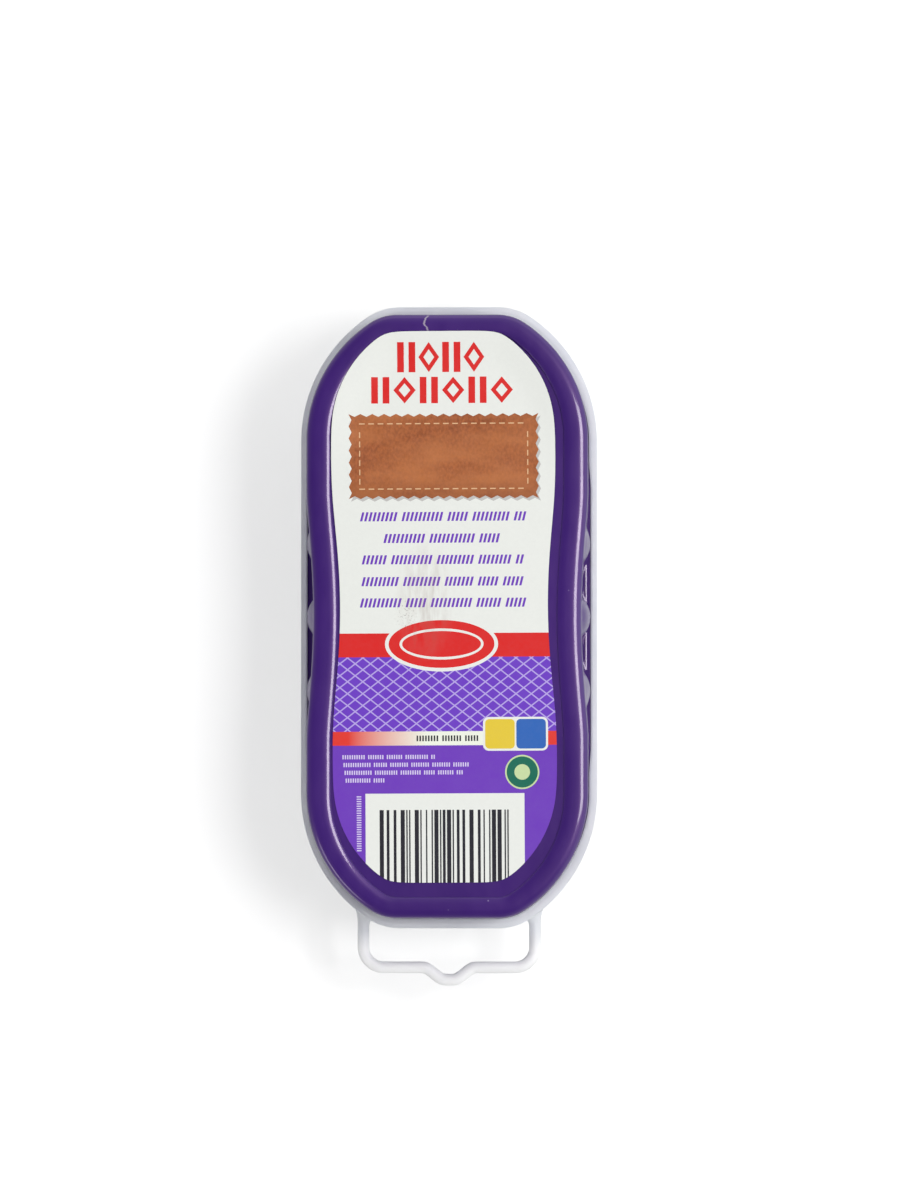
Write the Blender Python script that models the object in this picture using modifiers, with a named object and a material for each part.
"""Suede sponge in its snap-on case.

A moulded handle carries a block of foam that is faced with a rubber pad of
nubs. Its flange sits inside the rim of a frosted case, which has a hanging
loop at one end. Metres, +Z up. The origin is in the middle of the case's flat
base, the long axis runs along Y, and the hanging loop is at -Y.
"""

import math

import bmesh
import bpy

MM = 0.001
CLEARANCE = 0.3 * MM  # left between pieces that touch on the real object

# The outline that every piece follows, measured on the case's rim
HALF_WIDTH = 29.0 * MM
HALF_LENGTH = 60.8 * MM
END_FLAT = 9.7 * MM  # half of the straight stretch across each end
END_FILLET = 11.2 * MM
SIDE_ARC_TURN = math.radians(56.0)  # from the straight side round to the end fillet
WAIST_REACH = 31.0 * MM  # along Y from the middle to where the waist dies out
SIDE_STEPS, ARC_STEPS, FILLET_STEPS = 10, 8, 4

# Case
CASE_WALL = 0.9 * MM
CASE_BODY_INSET = 1.6 * MM  # the case's body stands this far inside its rim
CASE_DRAFT = 1.0 * MM  # narrower at the base than at the ledge
CASE_BASE_RADIUS = 2.5 * MM
LEDGE_HEIGHT = 18.0 * MM  # the ledge that carries the handle's flange
RIM_TOP = 21.2 * MM
RIM_CHAMFER = 0.3 * MM

# Hanging loop, on the case's rim
LOOP_RADIUS = 1.15 * MM
LOOP_HALF_WIDTH = 16.8 * MM  # to the middle of each arm
LOOP_REACH = 7.7 * MM  # from the case's end to the middle of the bar
LOOP_CORNER = 4.0 * MM
LOOP_DIP = 2.4 * MM  # the hook seat in the middle of the bar
LOOP_DIP_HALF = 5.2 * MM
LOOP_ROOT = 8.0 * MM  # how far the arms start inside the rim before they are cut to it

# Handle
PANEL_WALL = 1.6 * MM
FLANGE_THICKNESS = 2.2 * MM
FLANGE_CHAMFER = 0.2 * MM
SKIRT_DEPTH = 3.0 * MM  # below the flange, inside the case
SKIRT_WALL = 1.2 * MM
WALL_FOOT_INSET = 1.75 * MM
FOOT_FILLET = 0.3 * MM
WALL_DRAFT = 0.25 * MM
HANDLE_WAIST = 1.3 * MM
HANDLE_TOP = 38.0 * MM
RIDGE_ROUNDING = 3.0 * MM  # height of the ridge's outer rounding
RIDGE_OUTER = 1.7 * MM  # width of the ridge outside its crest
RIDGE_INNER = 1.8 * MM  # width of the ridge inside its crest
RIDGE_FALL = 0.25 * MM  # from the crest to the ridge's inner edge
RIDGE_STEP = 0.6 * MM  # width of the step down to the panel
PANEL_RECESS = 0.9 * MM
CEILING_RADIUS = 1.6 * MM

# Grips on the waist: rounded bulges with tapered pockets between them
BULGE_COUNT = 3
BULGE_PITCH = 14.0 * MM
BULGE_DEPTH = 2.0 * MM
BULGE_HALF_LENGTH = 3.3 * MM
BULGE_HALF_HEIGHT = 8.5 * MM
BULGE_CENTRE_RISE = 3.5 * MM  # above the flange
POCKET_OUTER_HALF = 3.7 * MM
POCKET_INNER_HALF = 2.5 * MM
POCKET_DEPTH = 0.8 * MM
POCKET_LAND = 0.7 * MM  # flange left outside the pocket
POCKET_MARGIN = 0.2 * MM  # flange left between the pocket and the wall

# Ribs and bosses inside the handle
RIB_THICKNESS = 1.2 * MM
RIB_PITCH = 30.0 * MM
RIB_BITE = 0.8 * MM  # how far ribs and bosses run into the wall
BOSS_X = 12.0 * MM
BOSS_RADIUS = 3.0 * MM
BOSS_BORE_RADIUS = 1.6 * MM
BOSS_BORE_DEPTH = 8.0 * MM

# Carrier plate, which closes the handle and holds the foam
PLATE_THICKNESS = 1.6 * MM
PIN_LENGTH = 6.0 * MM
PIN_CHAMFER = 0.4 * MM

# Label
LABEL_INSET = 7.4 * MM
LABEL_SHORTER = 0.35 * MM  # than the panel's own outline, at each end
LABEL_WAIST = 1.65 * MM
LABEL_THICKNESS = 0.2 * MM
LABEL_SHIFT = (-0.45 * MM, 1.1 * MM)  # stuck on a little off centre

# Foam and its rubber face
ADHESIVE_THICKNESS = 0.5 * MM
ADHESIVE_MARGIN = 0.8 * MM  # smaller than the foam all round
FOAM_THICKNESS = 7.6 * MM
FOAM_EDGE = 0.5 * MM
FOAM_GAP = 0.4 * MM  # between the foam and the handle's skirt
PAD_THICKNESS = 1.8 * MM
PAD_EDGE = 0.4 * MM
NUB_HEIGHT = 2.2 * MM
NUB_PITCH = 5.6 * MM
NUB_BASE = 4.3 * MM
NUB_TIP = 2.2 * MM
NUB_MARGIN = 0.6 * MM  # pad left bare round the field of nubs
NUB_BITE = 0.5 * MM

# Heights and insets that follow from the sizes above
RIM_INNER_INSET = CASE_WALL
FLANGE_INSET = RIM_INNER_INSET + CLEARANCE
FLANGE_BOTTOM = LEDGE_HEIGHT + CLEARANCE
FLANGE_TOP = FLANGE_BOTTOM + FLANGE_THICKNESS
SKIRT_BOTTOM = FLANGE_BOTTOM - SKIRT_DEPTH
SKIRT_DRAFT = CASE_DRAFT * SKIRT_DEPTH / LEDGE_HEIGHT
SKIRT_INSET = CASE_BODY_INSET + CASE_WALL + SKIRT_DRAFT + CLEARANCE
SKIRT_INNER_INSET = SKIRT_INSET + SKIRT_WALL
WALL_TOP_INSET = WALL_FOOT_INSET + WALL_DRAFT
CREST_INSET = WALL_TOP_INSET + RIDGE_OUTER
RIDGE_EDGE_INSET = CREST_INSET + RIDGE_INNER
PANEL_INSET = RIDGE_EDGE_INSET + RIDGE_STEP
PANEL_HEIGHT = HANDLE_TOP - PANEL_RECESS
CEILING = PANEL_HEIGHT - PANEL_WALL
SHOULDER = FLANGE_TOP  # the carrier plate comes up to it
PLATE_TOP = SHOULDER - CLEARANCE
PLATE_BOTTOM = PLATE_TOP - PLATE_THICKNESS
PLATE_INSET = SKIRT_INNER_INSET + CLEARANCE
ADHESIVE_TOP = PLATE_BOTTOM - CLEARANCE
ADHESIVE_BOTTOM = ADHESIVE_TOP - ADHESIVE_THICKNESS
FOAM_TOP = ADHESIVE_BOTTOM - CLEARANCE
FOAM_BOTTOM = FOAM_TOP - FOAM_THICKNESS
FOAM_INSET = SKIRT_INNER_INSET + FOAM_GAP
PAD_TOP = FOAM_BOTTOM - CLEARANCE
PAD_BOTTOM = PAD_TOP - PAD_THICKNESS
LOOP_HEIGHT = (LEDGE_HEIGHT - CASE_WALL + RIM_TOP) / 2
PIN_RADIUS = BOSS_BORE_RADIUS - CLEARANCE


def arc_geometry(half_length):
    """Centre and radius of the side arc, and centre of the end fillet, on the +X +Y quarter."""
    fillet = (END_FLAT, half_length - END_FILLET)
    radius = (HALF_WIDTH - END_FILLET * math.cos(SIDE_ARC_TURN) - END_FLAT) / (
        1 - math.cos(SIDE_ARC_TURN)
    )
    centre = (HALF_WIDTH - radius, fillet[1] - (radius - END_FILLET) * math.sin(SIDE_ARC_TURN))
    return centre, radius, fillet


def drawn_in(y, waist):
    """How far the waist draws the side in at this y: a squared cosine that dies out at WAIST_REACH."""
    if abs(y) >= WAIST_REACH:
        return 0.0
    return waist * math.cos(math.pi * y / (2 * WAIST_REACH)) ** 2


def outline(inset, waist=0.0, half_length=HALF_LENGTH):
    """Points of the rounded oblong, inset from the case's rim, counter-clockwise from the middle of +X."""
    centre, radius, fillet = arc_geometry(half_length)
    quarter = [(HALF_WIDTH - inset, centre[1] * i / SIDE_STEPS) for i in range(SIDE_STEPS)]
    for i in range(ARC_STEPS):
        turn = SIDE_ARC_TURN * i / ARC_STEPS
        reach = radius - inset
        quarter.append((centre[0] + reach * math.cos(turn), centre[1] + reach * math.sin(turn)))
    for i in range(FILLET_STEPS + 1):
        turn = SIDE_ARC_TURN + (math.pi / 2 - SIDE_ARC_TURN) * i / FILLET_STEPS
        reach = END_FILLET - inset
        quarter.append((fillet[0] + reach * math.cos(turn), fillet[1] + reach * math.sin(turn)))
    quarter = [(x - drawn_in(y, waist), y) for x, y in quarter]
    upper = quarter + [(-x, y) for x, y in reversed(quarter)]
    return upper + [(-x, -y) for x, y in upper[1 : 2 * len(quarter) - 1]]


def half_width_at(y, inset, waist=0.0):
    """Half the outline's width at this y, or 0 past its end."""
    centre, radius, fillet = arc_geometry(HALF_LENGTH)
    y = abs(y)
    if y <= centre[1]:
        return HALF_WIDTH - inset - drawn_in(y, waist)
    if y <= centre[1] + (radius - inset) * math.sin(SIDE_ARC_TURN):
        return centre[0] + math.sqrt((radius - inset) ** 2 - (y - centre[1]) ** 2) - drawn_in(y, waist)
    if y <= HALF_LENGTH - inset:
        return fillet[0] + math.sqrt((END_FILLET - inset) ** 2 - (y - fillet[1]) ** 2)
    return 0.0


def material(name, hex_colour, roughness, **inputs):
    """A Principled material with an sRGB colour."""
    made = bpy.data.materials.new(name)
    made.use_nodes = True
    shader = made.node_tree.nodes["Principled BSDF"]
    channels = [int(hex_colour[i : i + 2], 16) / 255 for i in (0, 2, 4)]
    linear = [c / 12.92 if c <= 0.04045 else ((c + 0.055) / 1.055) ** 2.4 for c in channels]
    shader.inputs["Base Color"].default_value = (*linear, 1.0)
    shader.inputs["Roughness"].default_value = roughness
    for socket, value in inputs.items():
        shader.inputs[socket.replace("_", " ")].default_value = value
    made.diffuse_color = (*linear, 1.0)
    return made


def add_object(name, mesh, collection, finish=None):
    made = bpy.data.objects.new(name, mesh)
    collection.objects.link(made)
    if finish:
        mesh.materials.append(finish)
    return made


def mesh_from(bm, name):
    """A mesh with its faces turned outward, from a bmesh that is then freed."""
    bmesh.ops.recalc_face_normals(bm, faces=bm.faces)
    mesh = bpy.data.meshes.new(name)
    bm.to_mesh(mesh)
    bm.free()
    return mesh


def loft(name, rings, collection, finish=None, open_top=False):
    """A skin through rings of (points, height), closed by a flat cap at each end unless open_top."""
    bm = bmesh.new()
    rows = [[bm.verts.new((x, y, height)) for x, y in points] for points, height in rings]
    for low, high in zip(rows, rows[1:]):
        for i in range(len(low)):
            j = (i + 1) % len(low)
            bm.faces.new((low[i], low[j], high[j], high[i]))
    bm.faces.new(rows[0])
    if not open_top:
        bm.faces.new(rows[-1])
    return add_object(name, mesh_from(bm, name), collection, finish)


def slab(name, points, bottom, top, collection, finish=None):
    """A flat outline made as a filled curve and extruded, then turned into a welded mesh."""
    curve = bpy.data.curves.new(name, "CURVE")
    curve.dimensions = "2D"
    curve.fill_mode = "BOTH"
    curve.extrude = (top - bottom) / 2
    spline = curve.splines.new("POLY")
    spline.points.add(len(points) - 1)
    for point, (x, y) in zip(spline.points, points):
        point.co = (x, y, 0.0, 1.0)
    spline.use_cyclic_u = True
    return welded(name, curve, (0.0, 0.0, (bottom + top) / 2), collection, finish)


def rod(name, points, radius, collection, finish=None):
    """A round bar along a list of points."""
    curve = bpy.data.curves.new(name, "CURVE")
    curve.dimensions = "3D"
    curve.bevel_depth = radius
    curve.bevel_resolution = 2
    curve.use_fill_caps = True
    spline = curve.splines.new("POLY")
    spline.points.add(len(points) - 1)
    for point, place in zip(spline.points, points):
        point.co = (*place, 1.0)
    return welded(name, curve, (0.0, 0.0, 0.0), collection, finish)


def welded(name, curve, place, collection, finish):
    """Turns a curve into a mesh object at the given place, with its caps welded on."""
    source = bpy.data.objects.new(name + "_curve", curve)
    source.location = place
    bpy.context.scene.collection.objects.link(source)
    bpy.context.view_layer.update()
    evaluated = source.evaluated_get(bpy.context.evaluated_depsgraph_get())
    mesh = bpy.data.meshes.new_from_object(evaluated)
    mesh.transform(source.matrix_world)
    bpy.data.objects.remove(source)
    bpy.data.curves.remove(curve)
    mesh.materials.clear()
    bm = bmesh.new()
    bm.from_mesh(mesh)
    bpy.data.meshes.remove(mesh)
    bmesh.ops.remove_doubles(bm, verts=bm.verts, dist=0.001 * MM)
    return add_object(name, mesh_from(bm, name), collection, finish)


def box(name, low, high, collection):
    bm = bmesh.new()
    bmesh.ops.create_cube(bm, size=1.0)
    for vert in bm.verts:
        vert.co = [a + (c + 0.5) * (b - a) for a, b, c in zip(low, high, vert.co)]
    return add_object(name, mesh_from(bm, name), collection)


def pillar(name, x, y, radii, bottom, top, collection, segments=16):
    """An upright cylinder or cone with a radius at its bottom and one at its top."""
    bm = bmesh.new()
    bmesh.ops.create_cone(
        bm,
        cap_ends=True,
        segments=segments,
        radius1=radii[0],
        radius2=radii[1],
        depth=top - bottom,
    )
    bmesh.ops.translate(bm, verts=bm.verts, vec=(x, y, (bottom + top) / 2))
    return add_object(name, mesh_from(bm, name), collection)


def combine(target, cutter, operation):
    """Applies one exact Boolean of the cutter to the target, which stays a modifier."""
    cutter.hide_render = True
    cutter.display_type = "WIRE"
    modifier = target.modifiers.new(f"{operation.lower()}_{cutter.name}", "BOOLEAN")
    modifier.operation = operation
    modifier.solver = "EXACT"
    modifier.object = cutter


def soften(made, degrees=35):
    """Smooth shading with edges kept sharp past an angle."""
    made.data.shade_smooth()
    made.data.set_sharp_from_angle(angle=math.radians(degrees))


def quarter_arc(start, end, steps):
    """Inset and height pairs along a quarter ellipse that leaves start upward and reaches end level."""
    pairs = []
    for i in range(1, steps + 1):
        turn = math.pi / 2 * i / steps
        inset = end[0] + (start[0] - end[0]) * math.cos(turn)
        pairs.append((inset, start[1] + (end[1] - start[1]) * math.sin(turn)))
    return pairs


def base_fillet(inset, steps):
    """Inset and height pairs round the case's base edge, from the flat base up to the wall."""
    pairs = []
    for i in range(steps + 1):
        turn = math.pi / 2 * i / steps
        pairs.append(
            (
                inset + CASE_BASE_RADIUS * (1 - math.sin(turn)),
                CASE_BASE_RADIUS * (1 - math.cos(turn)),
            )
        )
    return pairs


def loop_path():
    """Middle line of the hanging loop: arm, corner, bar with its dip, corner, arm."""
    bar = -(HALF_LENGTH + LOOP_REACH)
    right = [(LOOP_HALF_WIDTH, -(HALF_LENGTH - LOOP_ROOT))]
    corner_steps = 5
    for i in range(corner_steps + 1):
        turn = math.pi / 2 * i / corner_steps
        right.append(
            (
                LOOP_HALF_WIDTH - LOOP_CORNER * (1 - math.cos(turn)),
                bar + LOOP_CORNER * (1 - math.sin(turn)),
            )
        )
    dip_steps = 6
    for i in range(dip_steps):
        x = LOOP_DIP_HALF * (1 - i / dip_steps)
        right.append((x, bar - LOOP_DIP * (1 + math.cos(math.pi * x / LOOP_DIP_HALF)) / 2))
    middle = [(0.0, bar - LOOP_DIP)]
    left = [(-x, y) for x, y in reversed(right)]
    return [(x, y, LOOP_HEIGHT) for x, y in right + middle + left]


def build_case(parts, cutters):
    """Thin tray with a stepped rim, made as an outer skin and thickened inward, with its loop."""
    finish = material("frosted_polypropylene", "CDD2DA", 0.45, Transmission_Weight=0.6)
    pairs = base_fillet(CASE_BODY_INSET + CASE_DRAFT, 4)
    pairs += [
        (CASE_BODY_INSET, LEDGE_HEIGHT - CASE_WALL),
        (RIM_CHAMFER, LEDGE_HEIGHT - CASE_WALL),
        (0.0, LEDGE_HEIGHT - CASE_WALL + RIM_CHAMFER),
        (0.0, RIM_TOP),
    ]
    rings = [(outline(inset), height) for inset, height in pairs]
    case = loft("case_lid", rings, parts, finish, open_top=True)
    shell = case.modifiers.new("wall", "SOLIDIFY")
    shell.thickness = CASE_WALL
    shell.offset = -1.0
    shell.use_even_offset = True
    shell.use_quality_normals = True
    loop = rod("hanging_loop", loop_path(), LOOP_RADIUS, cutters)
    inside = slab("loop_root_trim", outline(CASE_WALL / 2), 0.0, HANDLE_TOP, cutters)
    combine(loop, inside, "DIFFERENCE")
    combine(case, loop, "UNION")
    soften(case)


def build_handle(parts, cutters):
    """Hollow moulding: skirt, flange, waisted wall, rounded ridge and recessed panel."""
    finish = material("violet_polystyrene", "44306F", 0.28)
    foot = WALL_FOOT_INSET
    rings = [(outline(SKIRT_INNER_INSET + CEILING_RADIUS, HANDLE_WAIST), CEILING)]
    for inset, height in reversed(
        quarter_arc(
            (SKIRT_INNER_INSET, CEILING - CEILING_RADIUS),
            (SKIRT_INNER_INSET + CEILING_RADIUS, CEILING),
            3,
        )[:-1]
    ):
        rings.append((outline(inset, HANDLE_WAIST), height))
    rings.append((outline(SKIRT_INNER_INSET, HANDLE_WAIST), CEILING - CEILING_RADIUS))
    rings.append((outline(SKIRT_INNER_INSET, HANDLE_WAIST), SHOULDER))
    for inset, height in (
        (SKIRT_INNER_INSET - CLEARANCE / 2, SHOULDER),
        (SKIRT_INNER_INSET - CLEARANCE / 2, SKIRT_BOTTOM),
        (SKIRT_INSET, SKIRT_BOTTOM),
        (SKIRT_INSET - SKIRT_DRAFT, FLANGE_BOTTOM),
        (FLANGE_INSET + FLANGE_CHAMFER, FLANGE_BOTTOM),
        (FLANGE_INSET, FLANGE_BOTTOM + FLANGE_CHAMFER),
        (FLANGE_INSET, FLANGE_TOP - FLANGE_CHAMFER),
        (FLANGE_INSET + FLANGE_CHAMFER, FLANGE_TOP),
    ):
        rings.append((outline(inset), height))
    upper = [
        (foot - FOOT_FILLET, FLANGE_TOP),
        (foot, FLANGE_TOP + FOOT_FILLET),
        (WALL_TOP_INSET, HANDLE_TOP - RIDGE_ROUNDING),
    ]
    upper += quarter_arc(upper[-1], (CREST_INSET, HANDLE_TOP), 5)
    upper += [
        (CREST_INSET + RIDGE_INNER / 2, HANDLE_TOP - RIDGE_FALL / 4),
        (RIDGE_EDGE_INSET, HANDLE_TOP - RIDGE_FALL),
        (PANEL_INSET - RIDGE_STEP / 4, PANEL_HEIGHT + PANEL_RECESS / 8),
        (PANEL_INSET, PANEL_HEIGHT),
    ]
    rings += [(outline(inset, HANDLE_WAIST), height) for inset, height in upper]
    handle = loft("handle_shell", rings, parts, finish)
    add_grips(handle, cutters)
    add_ribs(handle, cutters)
    soften(handle)


def add_grips(handle, cutters):
    """Three rounded bulges in each waist, and a tapered pocket between each two, in the flange."""
    for side in (1, -1):
        for i in range(BULGE_COUNT):
            y = BULGE_PITCH * (i - (BULGE_COUNT - 1) / 2)
            combine(handle, bulge(f"bulge_{side}_{i}", side, y, cutters), "UNION")
        for i in range(BULGE_COUNT - 1):
            y = BULGE_PITCH * (i - (BULGE_COUNT - 2) / 2)
            inner = half_width_at(y, WALL_FOOT_INSET, HANDLE_WAIST) + POCKET_MARGIN
            outer = HALF_WIDTH - FLANGE_INSET - POCKET_LAND
            corners = [
                (side * inner, y - POCKET_INNER_HALF),
                (side * outer, y - POCKET_OUTER_HALF),
                (side * outer, y + POCKET_OUTER_HALF),
                (side * inner, y + POCKET_INNER_HALF),
            ]
            top = FLANGE_TOP + POCKET_DEPTH
            cutter = slab(f"pocket_{side}_{i}", corners, FLANGE_TOP - POCKET_DEPTH, top, cutters)
            combine(handle, cutter, "DIFFERENCE")


def bulge(name, side, y, cutters):
    """An egg-shaped swelling that brings the drawn-in wall back out to the line of its foot."""
    bm = bmesh.new()
    bmesh.ops.create_uvsphere(bm, u_segments=16, v_segments=10, radius=1.0)
    x = side * (HALF_WIDTH - WALL_FOOT_INSET - BULGE_DEPTH)
    bmesh.ops.scale(bm, verts=bm.verts, vec=(BULGE_DEPTH, BULGE_HALF_LENGTH, BULGE_HALF_HEIGHT))
    bmesh.ops.translate(bm, verts=bm.verts, vec=(x, y, FLANGE_TOP + BULGE_CENTRE_RISE))
    floor = (0.0, 0.0, FLANGE_TOP - FLANGE_THICKNESS / 2)
    middle_of_wall = (side * (HALF_WIDTH - SKIRT_INSET - SKIRT_WALL / 2), 0.0, 0.0)
    for point, normal in ((floor, (0.0, 0.0, -1.0)), (middle_of_wall, (-side, 0.0, 0.0))):
        everything = bm.verts[:] + bm.edges[:] + bm.faces[:]
        cut = bmesh.ops.bisect_plane(
            bm, geom=everything, plane_co=point, plane_no=normal, clear_outer=True
        )
        edges = [e for e in cut["geom_cut"] if isinstance(e, bmesh.types.BMEdge)]
        bmesh.ops.contextual_create(bm, geom=edges)
    return add_object(name, mesh_from(bm, name), cutters)


def add_ribs(handle, cutters):
    """Cross ribs that stiffen the panel, two of them carrying the bosses for the carrier's pins."""
    for i in (-1, 0, 1):
        y = i * RIB_PITCH
        reach = half_width_at(y, SKIRT_INNER_INSET, HANDLE_WAIST) + RIB_BITE
        low = (-reach, y - RIB_THICKNESS / 2, SHOULDER)
        high = (reach, y + RIB_THICKNESS / 2, CEILING + RIB_BITE)
        combine(handle, box(f"rib_{i}", low, high, cutters), "UNION")
    for x, y in boss_places():
        name = f"boss_{x / MM:.0f}_{y / MM:.0f}"
        radii = (BOSS_RADIUS, BOSS_RADIUS)
        post = pillar(name, x, y, radii, SHOULDER, CEILING + RIB_BITE, cutters)
        combine(handle, post, "UNION")
    for x, y in boss_places():
        name = f"bore_{x / MM:.0f}_{y / MM:.0f}"
        radii = (BOSS_BORE_RADIUS, BOSS_BORE_RADIUS)
        depths = (SHOULDER - BOSS_BORE_DEPTH, SHOULDER + BOSS_BORE_DEPTH)
        combine(handle, pillar(name, x, y, radii, *depths, cutters), "DIFFERENCE")


def boss_places():
    return [(sx * BOSS_X, sy * RIB_PITCH) for sx in (1, -1) for sy in (1, -1)]


def build_label(parts):
    """Printed film, a little smaller than the panel and stuck on off centre."""
    finish = material("printed_film", "EBEBE8", 0.35)
    points = outline(LABEL_INSET, LABEL_WAIST, HALF_LENGTH - LABEL_SHORTER)
    points = [(x + LABEL_SHIFT[0], y + LABEL_SHIFT[1]) for x, y in points]
    bottom = PANEL_HEIGHT + CLEARANCE
    slab("front_label", points, bottom, bottom + LABEL_THICKNESS, parts, finish)


def build_carrier(parts, cutters):
    """Flat plate with four pins that push into the handle's bosses."""
    finish = material("grey_polypropylene", "8C8C92", 0.5)
    plate = slab("carrier_plate", outline(PLATE_INSET), PLATE_BOTTOM, PLATE_TOP, parts, finish)
    for x, y in boss_places():
        name = f"pin_{x / MM:.0f}_{y / MM:.0f}"
        top = SHOULDER + PIN_LENGTH
        radii = (PIN_RADIUS, PIN_RADIUS)
        shaft = pillar(name, x, y, radii, PLATE_TOP - PLATE_THICKNESS / 2, top, cutters)
        tip = shaft.modifiers.new("tip", "BEVEL")
        tip.width = PIN_CHAMFER
        tip.segments = 1
        tip.limit_method = "ANGLE"
        tip.angle_limit = math.radians(60)
        combine(plate, shaft, "UNION")
    soften(plate)


def build_sponge(parts, cutters):
    """Glue sheet, foam block and rubber pad with its field of cut nubs."""
    glue = material("double_sided_tape", "E8E4D8", 0.6)
    outer = outline(FOAM_INSET + ADHESIVE_MARGIN)
    slab("adhesive_sheet", outer, ADHESIVE_BOTTOM, ADHESIVE_TOP, parts, glue)
    foam = material("grey_foam", "6C6D72", 0.95)
    block = [
        (outline(FOAM_INSET + FOAM_EDGE), FOAM_BOTTOM),
        (outline(FOAM_INSET), FOAM_BOTTOM + FOAM_EDGE),
        (outline(FOAM_INSET), FOAM_TOP - FOAM_EDGE),
        (outline(FOAM_INSET + FOAM_EDGE), FOAM_TOP),
    ]
    soften(loft("foam_core", block, parts, foam))
    rubber = material("charcoal_rubber", "2B2B2F", 0.8)
    face = [
        (outline(FOAM_INSET + PAD_EDGE), PAD_BOTTOM),
        (outline(FOAM_INSET), PAD_BOTTOM + PAD_EDGE),
        (outline(FOAM_INSET), PAD_TOP),
    ]
    pad = loft("nub_pad", face, parts, rubber)
    combine(pad, nub_field(cutters), "UNION")


def nub_field(cutters):
    """Four-sided nubs on a square pitch, wherever a whole nub fits on the pad."""
    bm = bmesh.new()
    across = int(HALF_WIDTH / NUB_PITCH) + 1
    along = int(HALF_LENGTH / NUB_PITCH) + 1
    inset = FOAM_INSET + PAD_EDGE + NUB_MARGIN
    for row in range(-along, along):
        y = (row + 0.5) * NUB_PITCH
        room = half_width_at(abs(y) + NUB_BASE / 2, inset)
        for column in range(-across, across):
            x = (column + 0.5) * NUB_PITCH
            if abs(x) + NUB_BASE / 2 > room:
                continue
            add_nub(bm, x, y)
    return add_object("nub_field", mesh_from(bm, "nub_field"), cutters)


def add_nub(bm, x, y):
    """One truncated pyramid pointing down, its root sunk into the pad."""
    diagonal = math.sqrt(0.5)
    made = bmesh.ops.create_cone(
        bm,
        cap_ends=True,
        segments=4,
        radius1=NUB_TIP * diagonal,
        radius2=NUB_BASE * diagonal,
        depth=NUB_HEIGHT + NUB_BITE,
    )
    for vert in made["verts"]:
        turned_x = (vert.co.x - vert.co.y) * diagonal
        turned_y = (vert.co.x + vert.co.y) * diagonal
        vert.co.x = turned_x + x
        vert.co.y = turned_y + y
        vert.co.z += PAD_BOTTOM + (NUB_BITE - NUB_HEIGHT) / 2


def main():
    for item in list(bpy.data.objects):
        bpy.data.objects.remove(item)
    parts = bpy.data.collections.new("suede_sponge")
    cutters = bpy.data.collections.new("cutters")
    bpy.context.scene.collection.children.link(parts)
    bpy.context.scene.collection.children.link(cutters)
    build_case(parts, cutters)
    build_handle(parts, cutters)
    build_label(parts)
    build_carrier(parts, cutters)
    build_sponge(parts, cutters)
    lift = bpy.data.objects.new("sponge_lift", None)
    parts.objects.link(lift)
    for made in parts.objects:
        if made.type == "MESH" and made.name != "case_lid":
            made.parent = lift


main()
